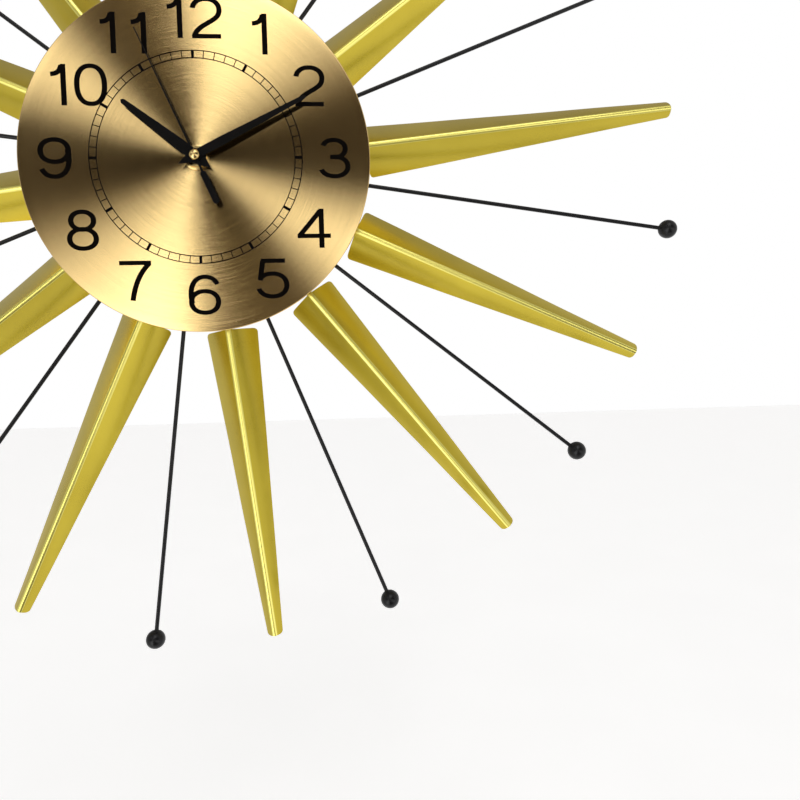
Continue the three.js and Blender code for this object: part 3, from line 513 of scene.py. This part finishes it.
def ray(index):
    """One folded ray. The sheet wavers by a tenth of a millimetre along its length, as bent sheet does."""
    node = f"ray_{index:02d}"
    low, _ = span(node)
    turn, shift = ray_place(node)
    phase = index * PHASE_STEP

    def warp(x, side):
        return 0.10 * math.sin(x / 31 + phase + side) + 0.06 * math.sin(x / 13 + 2 * phase - side)

    bm = bmesh.new()
    painted_highlight_mask = bm.verts.layers.float.new("painted_highlight_mask")
    rows = RAY_ROWS
    outer, inner = [], []
    for line in ray_lines():
        a, b = [], []
        for i in range(rows + 1):
            out, back = ray_point(line, i / rows, warp)
            for point, target in ((out, a), (back, b)):
                vertex = bm.verts.new(turn @ (point + Vector((0, low.y, 0))) + shift)
                # Points on the ridge's bend carry the painted highlight's strength; the rest of the sheet
                # carries none.
                vertex[painted_highlight_mask] = PAINTED_HIGHLIGHT_STRENGTH[line[2]] if line[1] == "bend" else 0
                target.append(vertex)
        outer.append(a)
        inner.append(b)
    for j in range(len(outer) - 1):
        for i in range(rows):
            bm.faces.new([outer[j][i], outer[j][i + 1], outer[j + 1][i + 1], outer[j + 1][i]])
            bm.faces.new([inner[j][i], inner[j + 1][i], inner[j + 1][i + 1], inner[j][i + 1]])
        for i in (0, rows):
            bm.faces.new([outer[j][i], outer[j + 1][i], inner[j + 1][i], inner[j][i]])
    for j in (0, len(outer) - 1):
        for i in range(rows):
            bm.faces.new([outer[j][i], inner[j][i], inner[j][i + 1], outer[j][i + 1]])
    piece(f"folded_{node}", bm, GOLD, replaces=[node], bevel=0.18, sharp=50)


# ---------------------------------------------------------------- rods and balls

def rod_and_ball(index):
    """A rod, welded on the hub plate, and the ball pressed over its end."""
    low, high = span(f"ball_{index:02d}")
    middle = (low + high) / 2
    turn = clock_frame(math.degrees(math.atan2(middle.x, middle.z)))
    centre = math.hypot(middle.x, middle.z)
    shift = (0, ROD_Y, 0)

    steps, ease = 24, 0.25
    start = ROD_INNER + ease
    reach = centre - BALL_RADIUS + 1.2
    bar = [(ROD_INNER, 0), (ROD_INNER, ROD_RADIUS - ease), (start, ROD_RADIUS)]
    bar += [(start + (reach - start) * k / steps, ROD_RADIUS) for k in range(1, steps + 1)]
    bar += [(reach, 0)]
    piece(f"rod_bar_{index:02d}", revolve(bmesh.new(), bar, 24, turn, shift), ENAMEL,
          replaces=[f"rod_{index:02d}"])

    near = centre - BALL_RADIUS
    mouth = math.asin((ROD_RADIUS + ROD_COLLAR) / BALL_RADIUS)
    ball = [(near - 0.35, 0), (near - 0.35, ROD_RADIUS + 0.02), (near - 0.2, ROD_RADIUS + 0.2)]
    for k in range(33):
        a = mouth + (math.pi - mouth) * k / 32
        ball.append((centre - BALL_RADIUS * math.cos(a), BALL_RADIUS * math.sin(a) if k < 32 else 0))
    piece(f"ball_tip_{index:02d}", revolve(bmesh.new(), ball, 48, turn, shift), ENAMEL,
          replaces=[f"ball_{index:02d}"], sharp=60)


for number in range(1, ARMS + 1):
    ray(number)
    rod_and_ball(number)


# ---------------------------------------------------------------- dial

def dial_face():
    """A spun disc with a hole for the bush and an edge rolled back a little."""
    back, hole, roll = DIAL_HIGH.y, DIAL_HOLE, DIAL_ROLL
    profile = [(DIAL_FRONT, hole)]
    profile += [(DIAL_FRONT, hole + (DIAL_RADIUS - roll - hole) * k / 24) for k in range(1, 25)]
    for k in range(1, 7):
        a = math.radians(15 * k)
        profile.append((DIAL_FRONT + roll * (1 - math.cos(a)), DIAL_RADIUS - roll * (1 - math.sin(a))))
    profile += [(back, DIAL_RADIUS), (back, hole), (DIAL_FRONT, hole)]
    piece("dial_face", turned(profile, 288), CHAMPAGNE, replaces=["dial"], sharp=40)


def arc(cx, cy, rx, ry, start, end, power=2.0):
    """Points on an ellipse, or on a squarer curve where power is above 2."""
    count = max(6, int(abs(end - start) / 6))
    points = []
    for k in range(count + 1):
        a = math.radians(start + (end - start) * k / count)
        c, s = math.cos(a), math.sin(a)
        points.append((cx + rx * math.copysign(abs(c) ** (2 / power), c),
                       cy + ry * math.copysign(abs(s) ** (2 / power), s)))
    return points


def sweep(*corners, count=14):
    """A smooth curve from the first point to the last, drawn towards those between."""
    points = []
    for k in range(count + 1):
        t = k / count
        row = [Vector(c) for c in corners]
        while len(row) > 1:
            row = [a.lerp(b, t) for a, b in zip(row, row[1:])]
        points.append(tuple(row[0]))
    return points


STROKE = 0.109              # line weight of a number, as a share of its height


def strokes(digit):
    """Centre lines of a digit, as (points, closed), in a box 0.65 wide and 1 high."""
    if digit == "0":
        return [(arc(0.325, 0.5, 0.275, 0.46, 0, 354, 2.3), True)]
    if digit == "1":
        flag = sweep((0.15, 0.76), (0.34, 0.76), (0.37, 0.97))
        return [([(0.40, 0), (0.40, 0.5), (0.40, 1)], False), (flag, False)]
    if digit == "2":
        top = arc(0.32, 0.69, 0.27, 0.265, 172, -28, 2.15)
        fall = sweep(top[-1], (0.47, 0.39), (0.13, 0.31), (0.075, 0.05))
        return [(top + fall[1:], False), ([(0.025, 0.05), (0.3, 0.05), (0.615, 0.05)], False)]
    if digit == "3":
        return [(arc(0.315, 0.735, 0.24, 0.22, 160, -82, 2.1), False),
                (arc(0.32, 0.29, 0.282, 0.245, 84, -164, 2.15), False),
                ([(0.235, 0.53), (0.30, 0.53), (0.36, 0.527)], False)]
    if digit == "4":
        return [([(0.482, 0), (0.482, 0.5), (0.482, 0.99)], False),
                ([(-0.025, 0.305), (0.3, 0.305), (0.675, 0.305)], False),
                ([(0.462, 0.94), (0.24, 0.62), (0.022, 0.318)], False)]
    if digit == "5":
        bowl = arc(0.325, 0.335, 0.298, 0.29, 146, -164, 2.15)
        return [(bowl, False), ([(0.10, 0.95), (0.35, 0.95), (0.60, 0.95)], False),
                ([(0.135, 0.95), (0.105, 0.72), (0.07, 0.455)], False)]
    if digit == "6":
        spine = arc(0.34, 0.5, 0.296, 0.455, 205, 33, 2.25)
        return [(arc(0.326, 0.32, 0.279, 0.272, 0, 354, 2.15), True), (spine, False)]
    if digit == "7":
        return [([(0.0, 0.945), (0.3, 0.945), (0.65, 0.945)], False),
                (sweep((0.615, 0.93), (0.33, 0.62), (0.249, 0.0)), False)]
    if digit == "8":
        return [(arc(0.325, 0.735, 0.228, 0.22, 0, 354, 2.1), True),
                (arc(0.325, 0.285, 0.266, 0.24, 0, 354, 2.15), True)]
    return [([(0.65 - x, 1 - y) for x, y in points], closed) for points, closed in strokes("6")]


def ribbon(points, closed, half):
    """Left and right edges of a line of even width."""
    left, right = [], []
    count = len(points)
    for k, point in enumerate(points):
        before = points[(k - 1) % count] if closed or k else point
        after = points[(k + 1) % count] if closed or k < count - 1 else point
        run = (Vector(after) - Vector(before)).normalized()
        side = Vector((-run.y, run.x)) * half
        left.append(Vector(point) + side)
        right.append(Vector(point) - side)
    return left, right


def print_ribbon(bm, left, right, closed, front, back, place):
    """Adds a ribbon as a thin layer of ink."""
    levels = []
    for y in (front, back):
        levels.append([[bm.verts.new(place(p, y)) for p in edge] for edge in (left, right)])
    (fl, fr), (bl, br) = levels
    count = len(left)
    for k in range(count if closed else count - 1):
        n = (k + 1) % count
        bm.faces.new([fl[k], fr[k], fr[n], fl[n]])
        bm.faces.new([bl[k], bl[n], br[n], br[k]])
        bm.faces.new([fl[k], fl[n], bl[n], bl[k]])
        bm.faces.new([fr[k], br[k], br[n], fr[n]])
    if not closed:
        for k in (0, count - 1):
            bm.faces.new([fl[k], bl[k], br[k], fr[k]])


def hour_numbers():
    """The hours, upright. Crossing strokes lie a hair apart in depth, so that no two faces coincide."""
    bm = bmesh.new()
    width = {"1": 0.53}
    space = 0.085
    back = DIAL_FRONT + INK_SINK
    for hour in range(1, 13):
        across, up = NUMBER_PLACES[hour]
        digits = str(hour)
        total = sum(width.get(d, 0.65) for d in digits) + space * (len(digits) - 1)
        cursor = -total / 2
        if digits == "1":
            cursor -= 0.06
        for digit in digits:
            for layer, (points, closed) in enumerate(strokes(digit)):
                left, right = ribbon(points, closed, STROKE / 2)

                def place(p, y, cursor=cursor):
                    x = (p.x + cursor) * NUMBER_HEIGHT * NUMBER_STRETCH
                    z = (p.y - 0.5) * NUMBER_HEIGHT
                    return (across + x, y, up + z)

                print_ribbon(bm, left, right, closed, DIAL_FRONT - INK - INK_LAYER * layer, back, place)
            cursor += width.get(digit, 0.65) + space
    piece("hour_numbers", bm, INK_BLACK, sharp=60)


def minute_track():
    """Two circles joined by sixty short lines, with every fifth one bold."""
    bm = bmesh.new()
    front, back = DIAL_FRONT - INK, DIAL_FRONT + INK_SINK
    for radius in (TRACK_INNER, TRACK_OUTER):
        ring_band(bm, radius - TRACK_LINE / 2, radius + TRACK_LINE / 2, front, back, 240)
    for minute in range(60):
        bold = minute % 5 == 0
        half = (TRACK_FIVE if bold else TRACK_LINE * 0.9) / 2
        outline = [(TRACK_INNER, -half), (TRACK_OUTER, -half), (TRACK_OUTER, half), (TRACK_INNER, half)]
        extrude(bm, outline, front - INK_LAYER, back, clock_frame(6 * minute))
    piece("minute_track", bm, INK_BLACK, sharp=60)


def washer():
    """The thin washer under the nut."""
    low, high = span("dial_washer")
    radius, hole = high.z, BUSH_HOLE
    profile = [(high.y, hole), (low.y + 0.1, hole), (low.y, hole + 0.1), (low.y, radius - 0.18),
               (low.y + 0.05, radius - 0.05), (low.y + 0.18, radius), (high.y, radius), (high.y, hole)]
    piece("washer_disc", turned(profile, 96), BRASS, replaces=["dial_washer"])


dial_face()
hour_numbers()
minute_track()
washer()


# ---------------------------------------------------------------- hands

def blade(name, node, body, tail, half, tip_half, boss, hole):
    """A flat pressed hand: pointed tail, widest near the axis, and a slow taper to the tip."""
    low, high = span(node)
    points = {tuple(c / MM for c in v.co) for v in nodes[node].data.vertices}
    length = max(math.hypot(x, z) for x, _, z in points)
    turn = clock_frame(aim(node))
    shoulder = tail * 0.42
    outline = [(-tail, 0), (-shoulder, -half), (length * 0.25, -half), (length - tip_half, -tip_half),
               (length, 0), (length - tip_half, tip_half), (length * 0.25, half), (-shoulder, half)]
    bm = bmesh.new()
    extrude(bm, outline, low.y, high.y, turn)
    piece(name, bm, HAND_BLACK, body, replaces=[node], bevel=0.12)
    raised = [(high.y + 0.04, hole), (low.y - 0.1, hole), (low.y - 0.16, hole + 0.12),
              (low.y - 0.16, boss - 0.2), (low.y - 0.08, boss), (high.y + 0.04, boss), (high.y + 0.04, hole)]
    piece(f"{name}_boss", turned(raised, 64), HAND_BLACK, body)


def second_blade():
    """A needle with a round-ended counterweight, and the polished cap pressed over its tube."""
    low, high = span("second_hand")
    turn = clock_frame(aim("second_hand"))
    points = {tuple(c / MM for c in v.co) for v in nodes["second_hand"].data.vertices}
    length = max(math.hypot(x, z) for x, _, z in points)
    back = high.y
    front = back - 0.4
    bm = bmesh.new()
    extrude(bm, [(-12, -0.6), (length, -0.3), (length, 0.3), (-12, 0.6)], front, back, turn)
    bar, half = [], 2
    for middle, start in ((-13, -90), (-31, 90)):
        for k in range(13):
            a = math.radians(start + 15 * k)
            bar.append((middle + half * math.cos(a), half * math.sin(a)))
    extrude(bm, bar, front - 0.01, back + 0.01, turn)
    piece("second_needle", bm, HAND_BLACK, "second_hands", replaces=["second_hand"], bevel=0.1)

    radius, crown = 3.2, low.y
    rim = front - 0.1
    profile = [(back, 0), (back, radius - 0.15), (back - 0.15, radius), (rim, radius)]
    for k in range(1, 13):
        a = math.radians(7.5 * k)
        profile.append((rim + (crown - rim) * math.sin(a), radius * math.cos(a) if k < 12 else 0))
    piece("second_cap", turned(profile, 64), BRASS, "second_hands")


blade("hour_blade", "hour_hand", "hour_hands", 12, 3.5, 1.6, 4.6, 2.65)
blade("minute_blade", "minute_hand", "minute_hands", 11.5, 2.8, 1.2, 3.8, 2.0)
second_blade()


# ---------------------------------------------------------------- behind the dial

def backing():
    """The fibreboard disc that stiffens the dial."""
    low, high = span("dial_backing")
    radius, hole, ease = high.z, BUSH_HOLE, 0.4
    profile = [(low.y, hole), (low.y, radius - ease), (low.y + ease, radius), (high.y - ease, radius),
               (high.y, radius - ease), (high.y, hole), (low.y, hole)]
    piece("backing_disc", turned(profile, 160), BOARD, replaces=["dial_backing"])


def spider():
    """The hub plate, with an arm bent back into each ray and welded to it."""
    low, _ = span("hub_plate")
    front, back = low.y, low.y + PLATE_THICKNESS
    radius, hole, ease = PLATE_RADIUS, BUSH_HOLE, 0.25
    bm = turned([(front, hole), (front, radius - ease), (front + ease, radius), (back - ease, radius),
                 (back, radius - ease), (back, hole), (front, hole)], 192)
    middle = (front + back) / 2
    rear = ARM_FRONT + PLATE_THICKNESS / 2
    path = sweep((96.5, middle), (99.3, middle), (101.6, (middle * 0.75 + rear * 0.25)), count=8)
    path += sweep((103.4, (middle * 0.25 + rear * 0.75)), (105.4, rear), (109, rear), count=8)
    path += [(120, rear), (131, rear), (ARM_REACH - ARM_WIDTH / 2, rear)]
    for index in range(1, ARMS + 1):
        turn, shift = ray_place(f"ray_{index:02d}")
        rows = []
        for k, point in enumerate(path):
            before, after = path[max(k - 1, 0)], path[min(k + 1, len(path) - 1)]
            run = (Vector(after) - Vector(before)).normalized()
            side = Vector((-run.y, run.x)) * PLATE_THICKNESS / 2
            rows.append([(Vector(point) + side, Vector(point) - side), ARM_WIDTH / 2])
        for k in range(1, 7):
            a = math.radians(15 * k)
            x = ARM_REACH - ARM_WIDTH / 2 * (1 - math.sin(a))
            half = max(ARM_WIDTH / 2 * math.cos(a), 0.3)
            faces = Vector((x, rear + PLATE_THICKNESS / 2)), Vector((x, rear - PLATE_THICKNESS / 2))
            rows.append([faces, half])
        rings = []
        for (upper, lower), half in rows:
            corners = [(upper, -half), (upper, half), (lower, half), (lower, -half)]
            rings.append([bm.verts.new(turn @ Vector((p.x, p.y, s)) + shift) for p, s in corners])
        for a, b in zip(rings, rings[1:]):
            for k in range(4):
                n = (k + 1) % 4
                bm.faces.new([a[k], a[n], b[n], b[k]])
        bm.faces.new(rings[0])
        bm.faces.new(reversed(rings[-1]))
    piece("hub_spider", bm, PLATE_ENAMEL, replaces=["hub_plate"], bevel=0.15, segments=1)


def cell():
    """An AA cell: crimped steel ends, a shrunk sleeve, and a raised positive contact."""
    low, high = span("battery")
    start, end = low.x, high.x
    y, z = (low.y + high.y) / 2, (low.z + high.z) / 2
    r = (high.y - low.y) / 2
    profile = [(start + 0.3, 0), (start + 0.3, 4.4), (start, 4.9), (start, r - 0.9), (start + 0.15, r - 0.45),
               (start + 0.55, r - 0.12), (start + 0.8, r - 0.12), (start + 0.95, r), (start + 12, r),
               (start + 24, r), (end - 14, r), (end - 2.6, r), (end - 2.2, r - 0.12), (end - 1.7, r - 0.5),
               (end - 1.45, r - 1.2), (end - 1.5, r - 1.8), (end - 1.1, 3.6), (end - 1.0, 2.9),
               (end - 0.9, 2.72), (end - 0.25, 2.7), (end - 0.05, 2.5), (end, 2.1), (end, 0)]
    piece("battery_cell", revolve(bmesh.new(), profile, 64, None, (0, y, z)), JACKET,
          replaces=["battery"], sharp=50)


backing()
spider()
cell()

# CAD nodes whose shapes are right: their vertices are joined and edges eased by modifiers.
KEPT = {
    "hanger_bracket": (STEEL, 0.3), "dial_nut": (BRASS, 0.22), "movement_front": (CASE, 0.25),
    "movement_back": (CASE, 0.25), "contact_positive": (NICKEL, 0.1), "contact_negative": (NICKEL, 0.1),
    "hour_wheel": (NYLON, 0.04), "centre_wheel": (NYLON, 0.04), "second_wheel": (NYLON, 0.04),
    "third_wheel": (NYLON, 0.04), "intermediate_wheel": (NYLON, 0.03), "rotor": (FERRITE, 0.04),
    "setting_wheel": (NYLON, 0.08), "coil": (COPPER, 0.05), "stator": (STEEL, 0.08),
    "circuit_board": (GREEN, 0.06),
}
for name, (material, ease) in KEPT.items():
    obj = nodes[name]
    obj.data.materials.clear()
    obj.data.materials.append(material)
    obj.data.shade_smooth()
    weld = obj.modifiers.new("weld", "WELD")
    weld.merge_threshold = 0.000002
    bevelled(obj, ease, 2, 30)


# ---------------------------------------------------------------- stage, light and camera

def floor():
    """A plain pale floor, well below the clock."""
    size, level = 6.0, cad_low.z - 0.32
    bm = bmesh.new()
    bmesh.ops.create_grid(bm, x_segments=24, y_segments=24, size=size)
    mesh = bpy.data.meshes.new("floor")
    bm.to_mesh(mesh)
    bm.free()
    obj = bpy.data.objects.new("floor", mesh)
    obj.location = (0, 0, level)
    obj.visible_glossy = False
    material, tree, shader, place = new_material("pale_floor", Specular_IOR_Level=0.1, Roughness=0.9,
                                                 Emission_Color=(1, 1, 1, 1), Emission_Strength=0.46)
    tree.set(shader.inputs["Base Color"],
             tree.ramp(tree.noise(place, 6, 3), [(0.3, (0.90, 0.90, 0.90)), (0.7, (0.93, 0.93, 0.93))]))
    mesh.materials.append(material)
    scene.collection.objects.link(obj)


BRIGHTEST = 2.6             # radiance of the brightest panel, which scales them all


def studio():
    """White surroundings, hung with soft panels. In front, each is a sector about the dial's axis, by the
    direction halfway between it and someone who looks from one fixed place, as a spun face reflects it.
    To the sides, each is a sector by its own direction, and dimmer level with the dial."""
    world = bpy.data.worlds.new("studio")
    scene.world = world
    world.use_nodes = True
    tree = Tree(world.node_tree)
    direction = tree.add("TexCoord").outputs["Generated"]
    axes = tree.add("SeparateXYZ", {"Vector": direction}).outputs
    # The fixed place lies roughly where camera() puts the camera. It stays there in every other view.
    viewer_x, viewer_z = 0.2125, -0.301
    half_x = tree.math("ADD", axes["X"], viewer_x)
    half_z = tree.math("ADD", axes["Z"], viewer_z)

    def turn_share(x, z):
        """Clock direction of (x, z), as a share of a turn."""
        angle = tree.math("ARCTAN2", x, z)
        return tree.math("FRACT", tree.math("ADD", tree.math("DIVIDE", angle, 2 * math.pi), 1.0))

    def panels(share, whole, *stops):
        """Panels by direction, as (degrees, radiance). Dim ones are warmer."""
        places = []
        for degrees, value in stops:
            cool = min(value / 0.5, 1)
            tint = (1, 0.8 + 0.2 * cool, 0.6 + 0.4 * cool)
            places.append((degrees / whole, tuple(value * part / BRIGHTEST for part in tint)))
        return tree.ramp(share, places)

    def mixed(factor, a, b):
        return tree.add("MixRGB", {"Fac": factor, "Color1": a, "Color2": b}).outputs[0]

    fan = tree.math("FRACT", tree.math("MULTIPLY", turn_share(half_x, half_z), 2.0))
    fans = panels(fan, 180, (0, 0.42), (4, 1.2), (9, 2.4), (20, 2.6), (35, 1.8), (50, 0.95), (60, 0.38),
                  (68, 0.08), (74, 0.05), (97, 0.05), (103, 0.5), (110, 1.15), (118, 1.6), (126, 1.4),
                  (134, 0.68), (142, 0.12), (150, 0.09), (168, 0.13), (176, 0.15), (180, 0.42))
    lean = tree.math("SQRT", tree.math("ADD", tree.math("MULTIPLY", half_x, half_x),
                                       tree.math("MULTIPLY", half_z, half_z)))
    # No light comes from where the flat dial would mirror it straight back.
    front = mixed(tree.remap(lean, 0.04, 0.13, 0, 1, "SMOOTHSTEP"), (0, 0, 0, 1), fans)
    sides = panels(turn_share(axes["X"], axes["Z"]), 360, (0, 0.42), (24, 0.42), (51, 0.75), (83, 0.75),
                   (114, 1.05), (142, 1.0), (173, 0.9), (204, 1.25), (231, 0.8), (263, 0.72), (294, 0.5),
                   (322, 0.42), (360, 0.42))
    towards = tree.math("MULTIPLY", axes["Y"], -1.0)
    tilt = tree.math("MULTIPLY", tree.math("ARCCOSINE", towards), 180 / math.pi)
    dimming = [(60, 0.95), (74, 1.0), (84, 0.82), (92, 0.8), (100, 0.9), (110, 1.0)]
    dimmer = [(degrees / 180, (value,) * 3) for degrees, value in dimming]
    depth = tree.ramp(tree.math("DIVIDE", tilt, 180), dimmer)
    layers = {"Fac": 1.0, "Color1": sides, "Color2": depth}
    sides = tree.add("MixRGB", layers, blend_type="MULTIPLY").outputs[0]
    edge = tree.remap(tilt, 52, 64, 0, 1, "SMOOTHSTEP")
    surroundings = mixed(edge, front, sides)
    light = tree.add("Background", {"Color": surroundings, "Strength": BRIGHTEST}).outputs[0]
    white = tree.add("Background", {"Color": (1, 1, 1, 1), "Strength": 1.0}).outputs[0]
    seen = tree.add("LightPath").outputs["Is Camera Ray"]
    surface = tree.add("MixShader", {0: seen, 1: light, 2: white}).outputs[0]
    tree.add("OutputWorld", {"Surface": surface})


def soft_light(name, place, target, size, power, only=()):
    """A square of soft light. Where only is given, it lights nothing but those objects."""
    data = bpy.data.lights.new(name, "AREA")
    data.shape = "RECTANGLE"
    data.size, data.size_y = size
    data.energy = power
    obj = bpy.data.objects.new(name, data)
    obj.location = place
    obj.rotation_euler = (Vector(target) - Vector(place)).to_track_quat("-Z", "Y").to_euler()
    obj.visible_camera = False
    if only:
        lit = bpy.data.collections.new(f"{name}_lit")
        for lit_piece in only:
            lit.objects.link(lit_piece)
        obj.light_linking.receiver_collection = lit
    scene.collection.objects.link(obj)


def camera():
    """Just below and to the right of the dial, close enough to crop the clock."""
    data = bpy.data.cameras.new("camera")
    data.lens = 28.76
    data.sensor_width = 36
    obj = bpy.data.objects.new("camera", data)
    obj.location = (0.09594, -0.44782, -0.13608)
    obj.rotation_euler = [math.radians(a) for a in (87.085, 1.462, -4.063)]
    scene.collection.objects.link(obj)
    scene.camera = obj


floor()
studio()
soft_light("key", (0.4, -1.2, 1.6), (0, 0, -0.05), (1.2, 1.2), 4)
soft_light("ridges", (0.1, -1.6, -0.1), (0, 0, -0.1), (2.2, 2.2), 4,
           only=[bpy.data.objects[f"folded_ray_{number:02d}"] for number in range(1, ARMS + 1)])
camera()
